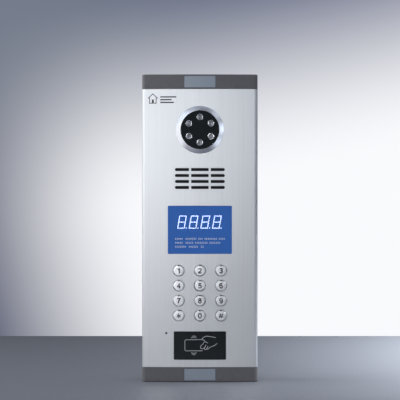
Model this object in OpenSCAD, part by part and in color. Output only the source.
// Surface-mounted door intercom panel, standing upright on its base.
// X runs to the right, Y from the front to the wall, Z up.
// The origin is under the middle of the body, on the plane that the base stands on.

/* [Housing] */
// Width of the housing
body_w = 126; // [125.6:0.1:127]
// Height of the housing with both end caps
body_h = 335; // [335:0.5:338]
// Depth from the crown of the front to the wall
body_d = 44.5; // [44.5:0.5:48]
// How far the front bows out between its side edges
front_bow = 2.5; // [2.4:0.1:2.6]
// Radius of the upright edges
edge_r = 4; // [3.8:0.1:4.2]
// Thickness of the aluminium wall
wall = 2; // [1.9:0.1:2]
// Height of each end cap
cap_h = 16; // [16:0.1:16.6]
// Thickness of the caps' walls
cap_wall = 2.4; // [2.2:0.1:2.6]
// Width of the snap-in insert in each cap
insert_w = 34; // [30:1:36]
// Height of the snap-in insert in each cap
insert_h = 12.8; // [12:0.1:13]

/* [Camera] */
// Height of the camera's centre above the base
camera_z = 274.6; // [274.4:0.1:276]
// Outer radius of the polished ring
ring_r = 26; // [25.5:0.1:26.2]
// How far the ring stands proud of the front's crown
ring_proud = 1.5; // [1.2:0.1:1.8]
// Radius of the dark camera window
lens_window_r = 21; // [20.8:0.1:21]
// Number of infra-red LEDs
led_count = 6; // [4:1:8]
// Radius of the circle of LEDs
led_circle_r = 13.9; // [13:0.1:14.5]
// Radius of one LED's dome
led_r = 2.5; // [2.3:0.1:2.5]

/* [Speaker] */
// Height of the speaker's centre above the base
speaker_z = 221.5; // [221:0.1:221.8]
// Width of a row of slots
slot_w = 54.4; // [50:0.2:56]
// Height of one slot
slot_h = 3.2; // [2.6:0.1:3.4]
// Distance between rows of slots
slot_pitch = 6.5; // [6:0.1:6.6]
// Number of rows of slots
slot_rows = 4; // [3:1:4]
// Distance of the two ribs from the middle of a row
rib_x = 10.7; // [9:0.1:12]
// Width of a rib between slots
rib_w = 2.4; // [2:0.1:3]

/* [Display] */
// Height of the display window's centre above the base
display_z = 165.6; // [165.4:0.1:166]
// Width of the display opening
display_w = 69.8; // [69:0.1:70]
// Height of the display opening
display_h = 52.4; // [52:0.1:52.6]
// Height of the digits' centre above the base
digit_z = 174; // [173.5:0.1:174.2]
// Height of a digit
digit_h = 14.2; // [13.6:0.1:14.2]
// Distance between digits
digit_pitch = 12.7; // [12:0.1:12.7]

/* [Keypad] */
// Height of the keypad's centre above the base
keypad_z = 96.6; // [96.4:0.1:96.8]
// Distance between columns of keys
key_pitch_x = 23; // [22.6:0.1:23]
// Distance between rows of keys
key_pitch_z = 16.35; // [16.2:0.05:16.5]
// Radius of a key's cap
key_r = 6.2; // [6:0.1:6.2]
// Gap between a key and its hole
key_gap = 0.4; // [0.3:0.05:0.5]
// How far a key stands proud of the front's crown
key_proud = 1.4; // [1.3:0.1:1.4]
// Travel of a key
key_travel = 1.2; // [0.8:0.1:1.2]

/* [Card reader and microphone] */
// Height of the card window's centre above the base
card_z = 39.5; // [39.5:0.1:39.8]
// Width of the card opening
card_w = 57; // [56:0.1:57]
// Height of the card opening
card_h = 31; // [30:0.1:31]
// Distance of the microphone hole from the middle
mic_x = -36.7; // [-37:0.1:-36.6]
// Height of the microphone hole above the base
mic_z = 53.1; // [52:0.1:54]
// Radius of the microphone hole
mic_hole_r = 1; // [0.8:0.1:1.2]

/* [Mounting] */
// Radius of the wall screw holes through the caps
wall_screw_r = 2.75; // [2.2:0.05:3]
// Radius of the bore in the cable grommet
cable_r = 5; // [4:0.5:6]
// Height of the cable grommet above the base
cable_z = 205; // [200:1:210]

/* [Hidden] */
KEY_NODES = [
    "key_1", "key_2", "key_3",
    "key_4", "key_5", "key_6",
    "key_7", "key_8", "key_9",
    "key_star", "key_0", "key_hash"
];
HOUSING_NODES = [
    "front_panel", "top_cap", "bottom_cap", "top_insert", "bottom_insert", "cap_screws",
    "rear_plate", "rear_seal", "rear_plate_screws", "cable_grommet",
    "inner_frame", "frame_screws"
];
CAMERA_NODES = [
    "camera_bezel", "camera_seal", "camera_nut", "camera_window", "led_bezels", "ir_leds",
    "led_board", "camera_lens", "lens_barrel", "lens_holder", "image_sensor", "camera_board",
    "camera_cup"
];
SPEAKER_NODES = [
    "speaker_mesh", "speaker_gasket", "speaker_frame", "speaker_cone", "speaker_magnet",
    "speaker_clips", "speaker_lead"
];
PANEL_NODES = [
    "display_window", "display_module", "display_segments", "display_board", "window_seals",
    "keypad_mat", "keypad_board", "microphone", "microphone_boot", "card_window",
    "antenna_board", "antenna_coil", "main_board", "board_parts", "terminal_block",
    "ribbon_cables"
];

$fn = 64;
eps = 0.01;
cut = 1;                  // how far a cutting tool runs past the surface it cuts

// Depth planes, from the front to the wall
crown_y = -(body_d + ring_proud) / 2 + ring_proud;
wall_y = crown_y + body_d;
pane_y = crown_y + 0.7;   // face of the flat windows
flange_y = crown_y + 3.3; // front of the windows' hidden flanges
frame_y = crown_y + 4.5;  // front of the inner frame
frame_t = 2.3;
back_y = frame_y + frame_t;
main_y = 4;               // front of the main board
plate_y = wall_y - 3.5;   // inner face of the recessed rear plate
plate_t = 1.5;
seal_t = 0.8;
ledge_y = plate_y - seal_t;

// The bowed front is part of a large cylinder
bow_r = (pow(body_w / 2, 2) + pow(front_bow, 2)) / (2 * front_bow);
bow_y = crown_y + bow_r;
bow_fn = 1440;
edge_x = body_w / 2 - edge_r;
edge_y = bow_y - sqrt(pow(bow_r - edge_r, 2) - pow(edge_x, 2));

// Housing details
side_in = body_w / 2 - wall;
port_x = side_in - 3.8;
port_r = 1.45;
ledge_w = 5.5;
ledge_t = 2.2;
plate_screw_x = side_in - 3;
plate_screw_z = [30, body_h / 2, body_h - 30];
rail_w = 4;
cap_centre = cap_h / 2;
pocket_depth = 2.2;
peg_x = 12;
tongue_h = 6;
plate_w = 2 * side_in - 0.4;
plate_h = body_h - 2 * cap_h - 0.4;

// Keypad
key_hole_r = key_r + key_gap;
key_flange_y = crown_y + 2.7;
key_flange_t = 0.8;
key_flange_r = key_hole_r + 0.75;
key_stem_r = 4;
dome_y = back_y + 0.5;
mat_y = back_y + 2.7;
mat_t = 1;
keypad_board_y = mat_y + mat_t;
keypad_post = [34.5, 32.5];

// Boards
board_t = 1.6;
display_module_y = frame_y + 0.4;
module_d = 8;
display_board_y = display_module_y + module_d;
display_post = [32, 21];
main_z = 115;
main_size = [100, 150];
main_post = [46, 70];
screw_r = 1;
pilot_r = 1.05;

// Camera
bezel_bore_r = lens_window_r + 0.1;
barrel_r = bezel_bore_r + 1.7;
window_t = 3;
window_y = crown_y - 0.3;
lens_seat_y = window_y + window_t;
led_board_y = lens_seat_y + 5.2;
nut_y = crown_y + 2.9;
nut_r = 25.5;
camera_board_y = 1.5;
cup_r = 29;
cup_ear_x = 33.5;
ear_t = 2;
cup_end_y = 8;

// Speaker
gasket_t = 1;
speaker_y = back_y + gasket_t;
speaker_r = 22.5;
clip_r = 24.6;
clip_t = 0.8;

// ---- shared shapes ----

module rod(r, y0, y1) {
    translate([0, y0, 0]) rotate([-90, 0, 0]) cylinder(r = r, h = y1 - y0);
}

module cone(r0, r1, y0, y1) {
    translate([0, y0, 0]) rotate([-90, 0, 0]) cylinder(r1 = r0, r2 = r1, h = y1 - y0);
}

module tube(r_out, r_in, y0, y1) {
    difference() {
        rod(r_out, y0, y1);
        rod(r_in, y0 - cut, y1 + cut);
    }
}

// A plate in the XZ plane from y0 to y1
module slab(w, h, y0, y1) {
    translate([-w / 2, y0, -h / 2]) cube([w, y1 - y0, h]);
}

module rounded_slab(w, h, r, y0, y1) {
    translate([0, y1, 0]) rotate([90, 0, 0]) linear_extrude(height = y1 - y0) union() {
        square([w - 2 * r, h], center = true);
        square([w, h - 2 * r], center = true);
        for (sx = [-1, 1], sz = [-1, 1]) {
            translate([sx * (w / 2 - r), sz * (h / 2 - r)]) circle(r = r);
        }
    }
}

module stadium(w, h, y0, y1) {
    translate([0, y1, 0]) rotate([90, 0, 0]) linear_extrude(height = y1 - y0) union() {
        square([w - h, h], center = true);
        for (s = [-1, 1]) translate([s * (w - h) / 2, 0]) circle(r = h / 2);
    }
}

// A body of revolution about the Y axis, from [radius, y] points
module lathe(points) {
    rotate([90, 0, 0]) rotate_extrude() polygon([for (p = points) [p[0], -p[1]]]);
}

module at_corners(half) {
    for (sx = [-1, 1], sz = [-1, 1]) translate([sx * half[0], 0, sz * half[1]]) children();
}

module around(count, r, start = 90) {
    for (i = [0 : count - 1]) {
        a = start + 360 * i / count;
        translate([r * cos(a), 0, r * sin(a)]) children();
    }
}

// The large cylinder whose near side is the front, moved back by inset
module bow(inset, z0, z1) {
    translate([0, bow_y, z0]) cylinder(r = bow_r - inset, h = z1 - z0, $fn = bow_fn);
}

// Half of the housing's outline: the rounded upright edge and the side
function side_points(inset, rear) = concat(
    [for (a = [-90 : 10 : 0])
        [edge_x + (edge_r - inset) * cos(a), edge_y + (edge_r - inset) * sin(a)]],
    [[body_w / 2 - inset, rear]]
);

function flipped(points) = [
    for (i = [len(points) - 1 : -1 : 0]) [-points[i][0], points[i][1]]
];

// The housing's solid shape from z0 to z1, shrunk by inset, back to the rear plane
module housing_shape(inset, z0, z1, rear = wall_y) {
    right = side_points(inset, rear);
    nose = [[0, crown_y - cut], [edge_x, crown_y - cut]];
    intersection() {
        translate([0, 0, z0]) linear_extrude(height = z1 - z0)
            polygon(concat(nose, right, flipped(right), [[-edge_x, crown_y - cut]]));
        bow(inset, z0 - cut, z1 + cut);
    }
}

// A block behind the bowed front, in narrow flat strips, for thin pieces that lie against it
module bow_block(inset, z0, z1) {
    r = bow_r - inset;
    half_angle = asin(side_in / r);
    steps = 48;
    front = [
        for (i = [0 : steps])
            let (a = half_angle * (2 * i / steps - 1)) [r * sin(a), bow_y - r * cos(a)]
    ];
    translate([0, 0, z0]) linear_extrude(height = z1 - z0)
        polygon(concat(front, [[side_in, wall_y], [-side_in, wall_y]]));
}

// What children() leaves behind the front wall's inner surface
module behind_wall(z0, z1) {
    intersection() {
        children();
        bow_block(wall, z0, z1);
    }
}

module at_keys() {
    for (i = [0 : len(KEY_NODES) - 1]) at_key(i) children();
}

module at_key(i) {
    column = i % 3;
    row = floor(i / 3);
    translate([(column - 1) * key_pitch_x, 0, keypad_z + (1.5 - row) * key_pitch_z]) children();
}

// A cross-head screw along +Y with its head's outer face at y0, drawn pointing to the front
module pan_screw(head_r, head_t, shank_r, length, y0) {
    difference() {
        union() {
            rod(head_r, y0 - head_t, y0);
            rod(shank_r, y0 - head_t - length, y0 - head_t + eps);
        }
        for (a = [0, 90]) rotate([0, a, 0]) {
            slab(head_r * 1.1, head_r * 0.24, y0 - head_t * 0.5, y0 + cut);
        }
    }
}

// A flat lead that follows [y, z] points, w wide and t thick
module flat_lead(points, w, t) {
    last = len(points) - 1;
    along = [
        for (i = [0 : last]) points[min(i + 1, last)] - points[max(i - 1, 0)]
    ];
    across = [for (d = along) [-d[1], d[0]] / norm(d) * t / 2];
    outline = concat(
        [for (i = [0 : last]) points[i] + across[i]],
        [for (i = [last : -1 : 0]) points[i] - across[i]]
    );
    translate([-w / 2, 0, 0]) rotate([90, 0, 90]) linear_extrude(height = w) polygon(outline);
}

// ---- housing ----

module speaker_slots(y0, y1) {
    for (i = [0 : slot_rows - 1]) {
        z = speaker_z + (i - (slot_rows - 1) / 2) * slot_pitch;
        translate([0, 0, z]) difference() {
            stadium(slot_w, slot_h, y0, y1);
            for (s = [-1, 1]) translate([s * rib_x, 0, 0]) {
                slab(rib_w, slot_h + cut, y0 - cut, y1 + cut);
            }
        }
    }
}

module front_openings() {
    y0 = crown_y - cut;
    y1 = crown_y + wall + 3;
    translate([0, 0, camera_z]) rod(barrel_r + 0.2, y0, y1);
    speaker_slots(y0, y1);
    translate([0, 0, display_z]) rounded_slab(display_w, display_h, 1, y0, y1);
    at_keys() rod(key_hole_r, y0, y1);
    translate([mic_x, 0, mic_z]) rod(mic_hole_r, y0, y1);
    translate([0, 0, card_z]) rounded_slab(card_w, card_h, 1, y0, y1);
}

// A rib along the inside of one side wall, reaching w inwards
module side_rib(side, w, y0, y1) {
    root = 0.5;
    translate([side * (side_in + (root - w) / 2), (y0 + y1) / 2, body_h / 2]) {
        cube([w + root, y1 - y0, body_h - 2 * cap_h], center = true);
    }
}

// The extrusion: rails for the inner frame, ledges for the rear plate, ports for cap screws
module front_panel() {
    z0 = cap_h;
    z1 = body_h - cap_h;
    color("gainsboro") difference() {
        union() {
            difference() {
                housing_shape(0, z0, z1);
                housing_shape(wall, z0 - cut, z1 + cut, wall_y + cut);
            }
            for (s = [-1, 1]) {
                side_rib(s, rail_w, back_y + 0.1, back_y + 1.5);
                side_rib(s, ledge_w, ledge_y - ledge_t, ledge_y);
                translate([s * port_x, 0, z0]) cylinder(r = port_r + 1.75, h = z1 - z0);
                side_rib(s, 2, -2, 2);
            }
        }
        for (s = [-1, 1]) {
            translate([s * port_x, 0, z0 - cut]) cylinder(r = port_r, h = z1 - z0 + 2 * cut);
            for (z = plate_screw_z) {
                translate([s * plate_screw_x, 0, z]) rod(1.25, ledge_y - ledge_t - cut, ledge_y + cut);
            }
        }
        front_openings();
    }
}

// The bottom end cap, standing on its outer face
module end_cap() {
    difference() {
        union() {
            difference() {
                housing_shape(0, 0, cap_h);
                intersection() {
                    housing_shape(cap_wall, cap_wall, cap_h + cut, wall_y - cap_wall);
                    translate([-body_w / 2, crown_y, 0]) cube([body_w, body_d, cap_h + cut]);
                }
            }
            // block behind the insert and tube for the wall screw
            intersection() {
                housing_shape(0, 0, cap_h);
                translate([0, 0, cap_centre]) slab(insert_w + 4, cap_h, crown_y, crown_y + 5);
            }
            translate([0, 0, cap_centre]) rod(6.6, crown_y + 4, wall_y);
            for (s = [-1, 1]) {
                translate([s * port_x, 0, 0]) cylinder(r = 4, h = cap_h);
            }
            // tongues that plug into the extrusion
            translate([0, 0, cap_h - 2 + tongue_h / 2]) {
                slab(44, tongue_h, crown_y + wall + 0.8, frame_y - 0.4);
                slab(96, tongue_h, ledge_y - 2, ledge_y);
            }
            translate([-48, ledge_y - 2, cap_wall]) cube([96, 2, cap_h - cap_wall]);
            translate([-22, crown_y + 1, cap_wall]) cube([44, 3.1, cap_h - cap_wall]);
        }
        translate([0, 0, cap_centre]) {
            slab(insert_w + 0.2, insert_h + 0.2, crown_y - cut, crown_y + pocket_depth);
            rod(wall_screw_r, crown_y, wall_y + cut);
            rod(5.4, crown_y, crown_y + 6);
            for (s = [-1, 1]) translate([s * peg_x, 0, 0]) rod(1.3, crown_y, crown_y + 4);
        }
        for (s = [-1, 1]) translate([s * port_x, 0, 0]) {
            translate([0, 0, -cut]) cylinder(r = 1.7, h = cap_h + 2 * cut);
            translate([0, 0, -cut]) cylinder(r = 3.2, h = cut + 2.6);
        }
    }
}

module cap_insert() {
    translate([0, 0, cap_centre]) {
        intersection() {
            slab(insert_w, insert_h, crown_y - cut, crown_y + pocket_depth);
            bow_block(0, -cap_h, cap_h);
        }
        for (s = [-1, 1]) translate([s * peg_x, 0, 0]) {
            rod(1.2, crown_y + pocket_depth - eps, crown_y + pocket_depth + 1.6);
        }
    }
}

module at_top() {
    translate([0, 0, body_h]) mirror([0, 0, 1]) children();
}

module top_cap() {
    color("dimgray") at_top() end_cap();
}

module bottom_cap() {
    color("dimgray") end_cap();
}

module top_insert() {
    color("slategray") at_top() cap_insert();
}

module bottom_insert() {
    color("slategray") cap_insert();
}

module cap_screw_pair() {
    for (s = [-1, 1]) translate([s * port_x, 0, 0]) rotate([-90, 0, 0]) {
        pan_screw(2.9, 2, 1.35, 22, -0.5);
    }
}

module cap_screws() {
    color("silver") {
        cap_screw_pair();
        at_top() cap_screw_pair();
    }
}

module rear_plate() {
    color("lightsteelblue") difference() {
        translate([0, 0, body_h / 2]) {
            slab(plate_w, plate_h, plate_y, plate_y + plate_t);
        }
        translate([0, 0, cable_z]) rod(cable_r + 3.1, plate_y - cut, plate_y + plate_t + cut);
        for (s = [-1, 1], z = plate_screw_z) {
            translate([s * plate_screw_x, 0, z]) rod(1.7, plate_y - cut, plate_y + plate_t + cut);
        }
    }
}

module rear_seal() {
    seal_w = 5;
    color("black") difference() {
        translate([0, 0, body_h / 2]) difference() {
            slab(plate_w, plate_h, ledge_y, plate_y);
            slab(plate_w - 2 * seal_w, plate_h - 2 * seal_w, ledge_y - cut, plate_y + cut);
        }
        for (s = [-1, 1], z = plate_screw_z) {
            translate([s * plate_screw_x, 0, z]) rod(1.7, ledge_y - cut, plate_y + cut);
        }
    }
}

module rear_plate_screws() {
    color("silver") for (s = [-1, 1], z = plate_screw_z) {
        translate([s * plate_screw_x, 0, z]) pan_screw(2.75, 1.6, 1.15, 4.4, plate_y + plate_t + 1.6);
    }
}

module cable_grommet() {
    color("black") translate([0, 0, cable_z]) difference() {
        union() {
            cone(cable_r + 4.6, cable_r + 6, plate_y - 2, plate_y);
            rod(cable_r + 3, plate_y - eps, plate_y + plate_t + eps);
            rod(cable_r + 6, plate_y + plate_t, plate_y + plate_t + 1.4);
        }
        rod(cable_r, plate_y - 2 - cut, wall_y);
    }
}

// ---- inner frame ----

module at_display_posts() {
    translate([0, 0, display_z]) at_corners(display_post) children();
}

module at_keypad_posts() {
    translate([0, 0, keypad_z]) at_corners(keypad_post) children();
}

module at_main_posts() {
    translate([0, 0, main_z]) at_corners(main_post) children();
}

module at_speaker_clips() {
    translate([0, 0, speaker_z]) around(4, clip_r + 2, 45) children();
}

module at_cup_ears() {
    translate([0, 0, camera_z]) for (s = [-1, 1]) translate([s * cup_ear_x, 0, 0]) children();
}

// The holes in the frame's plate, seen from the front
module frame_openings() {
    y0 = frame_y - cut;
    y1 = back_y + cut;
    translate([0, 0, camera_z]) rod(nut_r + 0.7, y0, y1);
    translate([0, 0, speaker_z]) rod(19.5, y0, y1);
    translate([0, 0, digit_z]) slab(4 * digit_pitch + 0.7, 20, y0, y1);
    translate([0, 0, keypad_z]) slab(64, 66, y0, frame_y + 0.8);
    at_keys() rod(key_stem_r + 0.4, y0, y1);
    translate([mic_x, 0, mic_z]) rod(4.3, y0, y1 + cut);
    translate([0, 0, card_z]) {
        slab(56.4, 30.4, y0, frame_y + 1.9);
        slab(46, 20, y0, y1 + cut);
    }
}

module inner_frame() {
    z0 = cap_h + 1;
    z1 = body_h - cap_h - 1;
    pilot_y = frame_y + 0.6;
    color("dimgray") difference() {
        union() {
            translate([0, 0, (z0 + z1) / 2]) slab(2 * side_in - 3, z1 - z0, frame_y, back_y);
            translate([0, 0, card_z]) slab(62, 37, back_y - eps, back_y + 1.6);
            at_display_posts() rod(2.5, back_y - eps, display_board_y);
            at_keypad_posts() rod(2.3, back_y - eps, keypad_board_y);
            at_main_posts() rod(3, back_y - eps, main_y);
            at_speaker_clips() rod(2, back_y - eps, speaker_y + 1);
        }
        frame_openings();
        at_display_posts() rod(pilot_r, back_y, display_board_y + cut);
        at_keypad_posts() rod(pilot_r, back_y, keypad_board_y + cut);
        at_main_posts() rod(pilot_r, main_y - 8, main_y + cut);
        at_speaker_clips() rod(pilot_r, pilot_y, speaker_y + 1 + cut);
        at_cup_ears() rod(pilot_r, pilot_y, back_y + cut);
    }
}

// The small screw, with its head resting on a face at y
module frame_screw(y) {
    pan_screw(2, 1.3, screw_r, 3, y + 1.3);
}

module frame_screws() {
    color("silver") {
        at_display_posts() frame_screw(display_board_y + board_t);
        at_keypad_posts() frame_screw(keypad_board_y + board_t);
        at_main_posts() frame_screw(main_y + board_t);
        at_speaker_clips() frame_screw(speaker_y + 1 + clip_t);
        at_cup_ears() frame_screw(back_y + ear_t);
    }
}

// ---- camera ----

module camera_bezel() {
    crest_y = crown_y - ring_proud;
    color("silver") translate([0, 0, camera_z]) union() {
        difference() {
            lathe([
                [bezel_bore_r, crown_y + 1], [bezel_bore_r, window_y - 0.1],
                [ring_r - 3.9, crest_y + 0.1], [ring_r - 3.3, crest_y],
                [ring_r - 1.6, crest_y + 0.4], [ring_r - 0.3, crest_y + 1.1],
                [ring_r, crest_y + 1.5], [ring_r, crown_y + 1]
            ]);
            bow(0, -ring_r - cut, ring_r + cut);
        }
        lathe([
            [bezel_bore_r, crown_y], [bezel_bore_r, lens_seat_y], [bezel_bore_r - 1.6, lens_seat_y],
            [bezel_bore_r - 1.6, led_board_y], [barrel_r, led_board_y], [barrel_r, crown_y]
        ]);
    }
}

module camera_seal() {
    color("black") behind_wall(camera_z - nut_r - cut, camera_z + nut_r + cut) {
        translate([0, 0, camera_z]) tube(nut_r - 0.3, barrel_r + 0.3, crown_y, nut_y);
    }
}

module camera_nut() {
    color("gray") translate([0, 0, camera_z]) difference() {
        tube(nut_r, barrel_r + 0.05, nut_y, nut_y + 4);
        around(4, nut_r, 45) rod(1.6, nut_y + 1.5, nut_y + 4 + cut);
    }
}

module camera_window() {
    color("black") translate([0, 0, camera_z]) difference() {
        rod(lens_window_r, window_y, lens_seat_y);
        around(led_count, led_circle_r) rod(led_r + 0.65, window_y - cut, lens_seat_y + cut);
    }
}

module led_bezels() {
    color("silver") translate([0, 0, camera_z]) around(led_count, led_circle_r) difference() {
        union() {
            rod(led_r + 0.6, window_y - eps, lens_seat_y);
            cone(led_r + 0.4, led_r + 0.9, window_y - 0.35, window_y);
        }
        rod(led_r + 0.15, window_y - cut, lens_seat_y + cut);
    }
}

module ir_leds() {
    dome_y = window_y + 2;
    color("whitesmoke") translate([0, 0, camera_z]) around(led_count, led_circle_r) union() {
        intersection() {
            translate([0, dome_y, 0]) sphere(r = led_r);
            rod(led_r + cut, dome_y - led_r - cut, dome_y + eps);
        }
        rod(led_r, dome_y, led_board_y - 0.9);
        rod(led_r + 0.4, led_board_y - 1, led_board_y);
    }
}

module led_board() {
    color("darkgreen") translate([0, 0, camera_z]) {
        tube(barrel_r - 0.3, 8, led_board_y, led_board_y + board_t);
    }
}

module camera_lens() {
    color("midnightblue") translate([0, 0, camera_z]) intersection() {
        rod(4.4, lens_seat_y + 0.6, lens_seat_y + 3.2);
        translate([0, lens_seat_y + 7.7, 0]) sphere(r = 7);
    }
}

module lens_barrel() {
    color("black") translate([0, 0, camera_z]) lathe([
        [4.45, lens_seat_y + 0.5], [4.45, lens_seat_y + 3.2], [3, lens_seat_y + 3.2],
        [3, camera_board_y - 4], [6, camera_board_y - 4], [6, lens_seat_y + 8],
        [7, lens_seat_y + 8], [7, lens_seat_y + 0.5]
    ]);
}

module lens_holder() {
    color("black") translate([0, 0, camera_z]) difference() {
        slab(20, 20, camera_board_y - 9, camera_board_y);
        rod(6.05, camera_board_y - 9 - cut, camera_board_y - 3);
        slab(12, 12, camera_board_y - 3 - eps, camera_board_y + cut);
    }
}

module image_sensor() {
    color("navy") translate([0, 0, camera_z]) {
        slab(9, 9, camera_board_y - 1.2, camera_board_y);
    }
}

module camera_board() {
    color("darkgreen") translate([0, 0, camera_z]) {
        slab(36, 36, camera_board_y, camera_board_y + board_t);
    }
}

module camera_cup() {
    inner_r = cup_r - 1.8;
    color("darkslategray") translate([0, 0, camera_z]) difference() {
        union() {
            rod(cup_r, back_y, cup_end_y);
            slab(2 * cup_ear_x + 7, 8, back_y, back_y + ear_t);
        }
        difference() {
            rod(inner_r, back_y - cut, cup_end_y - 1.8);
            at_corners([14.5, 14.5]) rod(2.5, camera_board_y + board_t, cup_end_y);
        }
        for (s = [-1, 1]) translate([s * cup_ear_x, 0, 0]) {
            rod(1.3, back_y - cut, back_y + ear_t + cut);
        }
        translate([0, 0, -10]) slab(14, 3, camera_board_y, cup_end_y + cut);
    }
}

// ---- speaker ----

module speaker_mesh() {
    color("black") difference() {
        behind_wall(speaker_z - 15, speaker_z + 15) {
            translate([0, 0, speaker_z]) slab(62, 29, crown_y, crown_y + 5);
        }
        bow_block(wall + 0.6, 0, body_h);
    }
}

module speaker_gasket() {
    color("black") translate([0, 0, speaker_z]) tube(speaker_r, 19.6, back_y, speaker_y);
}

module speaker_frame() {
    y = speaker_y;
    color("dimgray") translate([0, 0, speaker_z]) lathe([
        [20.4, y], [speaker_r, y], [speaker_r, y + 1], [20.8, y + 1],
        [15, y + 8], [15, y + 9], [8, y + 9], [8, y + 8.2],
        [14.2, y + 8.2], [19.8, y + 1.2]
    ]);
}

module speaker_cone() {
    y = speaker_y;
    color("saddlebrown") translate([0, 0, speaker_z]) lathe([
        [0, y + 3.6], [3, y + 4], [5.6, y + 5.4], [17.4, y + 0.7], [19.9, y + 0.1],
        [19.9, y + 0.5], [17.5, y + 1.2], [5.6, y + 6], [0, y + 6]
    ]);
}

module speaker_magnet() {
    color("gray") translate([0, 0, speaker_z]) union() {
        rod(14, speaker_y + 9, speaker_y + 15);
        rod(11, speaker_y + 15 - eps, speaker_y + 17);
    }
}

module speaker_clips() {
    color("silver") translate([0, 0, speaker_z]) for (a = [45 : 90 : 315]) rotate([0, a, 0]) {
        difference() {
            translate([clip_r + 0.8, 0, 0]) slab(7, 6, speaker_y + 1, speaker_y + 1 + clip_t);
            translate([clip_r + 2, 0, 0]) rod(1.2, speaker_y, speaker_y + 3);
        }
    }
}

module speaker_lead() {
    color("firebrick") flat_lead([
        [speaker_y + 7.4, speaker_z - 16.2], [speaker_y + 7.6, speaker_z - 18],
        [0, speaker_z - 25], [4, main_z + 80], [7.5, main_z + 77], [8.6, main_z + 72]
    ], 2.6, 1);
}

// ---- windows and display ----

module window(w, h, centre_z) {
    translate([0, 0, centre_z]) union() {
        rounded_slab(w - 0.3, h - 0.3, 0.9, pane_y, flange_y + eps);
        slab(w + 6, h + 6, flange_y, frame_y);
    }
}

module window_seal(w, h, centre_z) {
    behind_wall(centre_z - h, centre_z + h) translate([0, 0, centre_z]) difference() {
        slab(w + 6, h + 6, crown_y, flange_y);
        slab(w + 1, h + 1, crown_y - cut, flange_y + cut);
    }
}

module display_window() {
    color("royalblue") window(display_w, display_h, display_z);
}

module card_window() {
    color("black") window(card_w, card_h, card_z);
}

module window_seals() {
    color("black") {
        window_seal(display_w, display_h, display_z);
        window_seal(card_w, card_h, card_z);
    }
}

module display_module() {
    color("darkslategray") translate([0, 0, digit_z]) {
        slab(4 * digit_pitch - 0.5, 19, display_module_y, display_board_y);
    }
}

// A seven-segment digit with its point: bars of width t on a frame w by h, leaning to the right
module digit(w, h, t) {
    lean = tan(10);
    gap = 0.18;
    multmatrix([[1, lean, 0, 0], [0, 1, 0, 0], [0, 0, 1, 0]]) {
        for (z = [-h / 2 + t / 2, 0, h / 2 - t / 2]) {
            translate([0, z]) bar(w - t - 2 * gap, t);
        }
        for (s = [-1, 1], z = [-1, 1]) {
            translate([s * (w - t) / 2, z * (h - t) / 4]) rotate(90) bar((h - t) / 2 - 2 * gap, t);
        }
    }
    translate([w / 2 + 0.5, -h / 2 + t / 2]) circle(r = t * 0.55);
}

// One segment with pointed ends
module bar(length, t) {
    polygon([
        [-length / 2, 0], [-length / 2 + t / 2, -t / 2], [length / 2 - t / 2, -t / 2],
        [length / 2, 0], [length / 2 - t / 2, t / 2], [-length / 2 + t / 2, t / 2]
    ]);
}

module display_segments() {
    color("white") for (i = [0 : 3]) {
        translate([(i - 1.5) * digit_pitch - 0.5, display_module_y, digit_z]) rotate([90, 0, 0]) {
            linear_extrude(height = 0.2) digit(8.2, digit_h, 1.25);
        }
    }
}

module display_board() {
    color("darkgreen") translate([0, 0, display_z]) difference() {
        slab(72, 50, display_board_y, display_board_y + board_t);
        at_corners(display_post) rod(1.3, display_board_y - cut, display_board_y + board_t + cut);
    }
}

// ---- keypad ----

// One round key: bevelled cap, hidden flange that keeps it in the panel, stem
module key(i) {
    top_y = crown_y - key_proud;
    color("lightgray") at_key(i) union() {
        lathe([
            [0, top_y], [key_r - 1.5, top_y], [key_r - 0.6, top_y + 0.35], [key_r, top_y + 1.1],
            [key_r, key_flange_y], [key_flange_r, key_flange_y],
            [key_flange_r, key_flange_y + key_flange_t], [key_stem_r, key_flange_y + key_flange_t],
            [key_stem_r, dome_y], [0, dome_y]
        ]);
    }
}

module keypad_mat() {
    color("whitesmoke") difference() {
        union() {
            translate([0, 0, keypad_z]) slab(62, 66, mat_y, mat_y + mat_t);
            at_keys() cone(3.4, 5.2, dome_y, mat_y + eps);
        }
        at_keys() cone(2.2, 4.2, dome_y + 0.9, mat_y + mat_t);
        at_keys() rod(4.2, mat_y + mat_t - eps, mat_y + mat_t + cut);
    }
}

module keypad_board() {
    color("darkgreen") translate([0, 0, keypad_z]) difference() {
        slab(76, 72, keypad_board_y, keypad_board_y + board_t);
        at_corners(keypad_post) rod(1.3, keypad_board_y - cut, keypad_board_y + board_t + cut);
    }
}

// ---- microphone and card reader ----

module microphone() {
    color("silver") translate([mic_x, 0, mic_z]) rod(3, crown_y + 5, crown_y + 8.4);
}

module microphone_boot() {
    color("black") behind_wall(mic_z - 5, mic_z + 5) translate([mic_x, 0, mic_z]) difference() {
        rod(4, crown_y, crown_y + 9);
        rod(1, crown_y - cut, crown_y + 9);
        rod(3.05, crown_y + 5, crown_y + 9 + cut);
    }
}

module antenna_board() {
    color("darkgreen") translate([0, 0, card_z]) {
        slab(56, 30, frame_y + 0.3, frame_y + 1.9);
    }
}

module antenna_coil() {
    track = 0.5;
    color("goldenrod") translate([0, 0, card_z]) for (i = [0 : 4]) difference() {
        slab(52 - 2.4 * i, 26 - 2.4 * i, frame_y + 0.15, frame_y + 0.3);
        slab(52 - 2.4 * i - 2 * track, 26 - 2.4 * i - 2 * track, frame_y, frame_y + 1);
    }
}

// ---- main board ----

module main_board() {
    color("darkgreen") translate([0, 0, main_z]) difference() {
        slab(main_size[0], main_size[1], main_y, main_y + board_t);
        at_corners(main_post) rod(1.3, main_y - cut, main_y + board_t + cut);
    }
}

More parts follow.
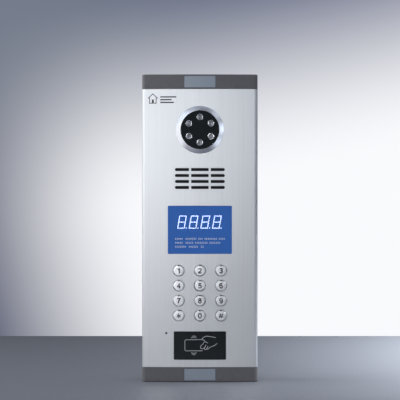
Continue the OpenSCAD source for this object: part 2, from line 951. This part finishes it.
module board_parts() {
    y = main_y + board_t;
    color("black") translate([0, 0, main_z]) {
        translate([-12, 0, 10]) slab(16, 16, y, y + 1.6);
        translate([14, 0, 12]) slab(18, 8, y, y + 1.2);
        translate([-12, 0, -18]) slab(10, 6, y, y + 1.6);
        translate([28, 0, -40]) slab(20, 16, y, y + 11);
        for (i = [0 : 2]) translate([-34 + 11 * i, 0, -50]) rod(4, y, y + 9);
        translate([-30, 0, 66]) slab(22, 6, y, y + 3);
    }
}

module terminal_block() {
    y = main_y + board_t;
    ways = 8;
    pitch = 5;
    color("green") translate([12, 0, main_z + 62]) difference() {
        slab(ways * pitch + 2, 10, y, y + 10);
        for (i = [0 : ways - 1]) translate([(i - (ways - 1) / 2) * pitch, 0, 0]) {
            rod(1.7, y + 6, y + 10 + cut);
            translate([0, 0, 4]) slab(3, 6, y + 1.4, y + 4.6);
        }
    }
}

module ribbon_cables() {
    color("lightgray") {
        translate([6, 0, 0]) flat_lead([
            [display_board_y + board_t, 156], [display_board_y + board_t + 1, 156], [-2, 159],
            [main_y - 2, 158], [main_y - 1, 157], [main_y, 157]
        ], 16, 0.5);
        translate([-6, 0, 0]) flat_lead([
            [keypad_board_y + board_t, 100], [keypad_board_y + board_t + 1, 100], [-4, 103],
            [main_y - 2, 102], [main_y - 1, 101], [main_y, 101]
        ], 16, 0.5);
        translate([-30, 0, 0]) flat_lead([
            [cup_end_y + 0.3, camera_z - 11.5], [cup_end_y + 1.4, camera_z - 20],
            [cup_end_y + 1.5, main_z + 84], [9.2, main_z + 70]
        ], 12, 0.5);
    }
}

front_panel();
top_cap();
bottom_cap();
top_insert();
bottom_insert();
cap_screws();
rear_plate();
rear_seal();
rear_plate_screws();
cable_grommet();
inner_frame();
frame_screws();
camera_bezel();
camera_seal();
camera_nut();
camera_window();
led_bezels();
ir_leds();
led_board();
camera_lens();
lens_barrel();
lens_holder();
image_sensor();
camera_board();
camera_cup();
speaker_mesh();
speaker_gasket();
speaker_frame();
speaker_cone();
speaker_magnet();
speaker_clips();
speaker_lead();
display_window();
display_module();
display_segments();
display_board();
window_seals();
keypad_mat();
keypad_board();
microphone();
microphone_boot();
card_window();
antenna_board();
antenna_coil();
main_board();
board_parts();
terminal_block();
ribbon_cables();
key(0);  // key_1
key(1);  // key_2
key(2);  // key_3
key(3);  // key_4
key(4);  // key_5
key(5);  // key_6
key(6);  // key_7
key(7);  // key_8
key(8);  // key_9
key(9);  // key_star
key(10);  // key_0
key(11);  // key_hash
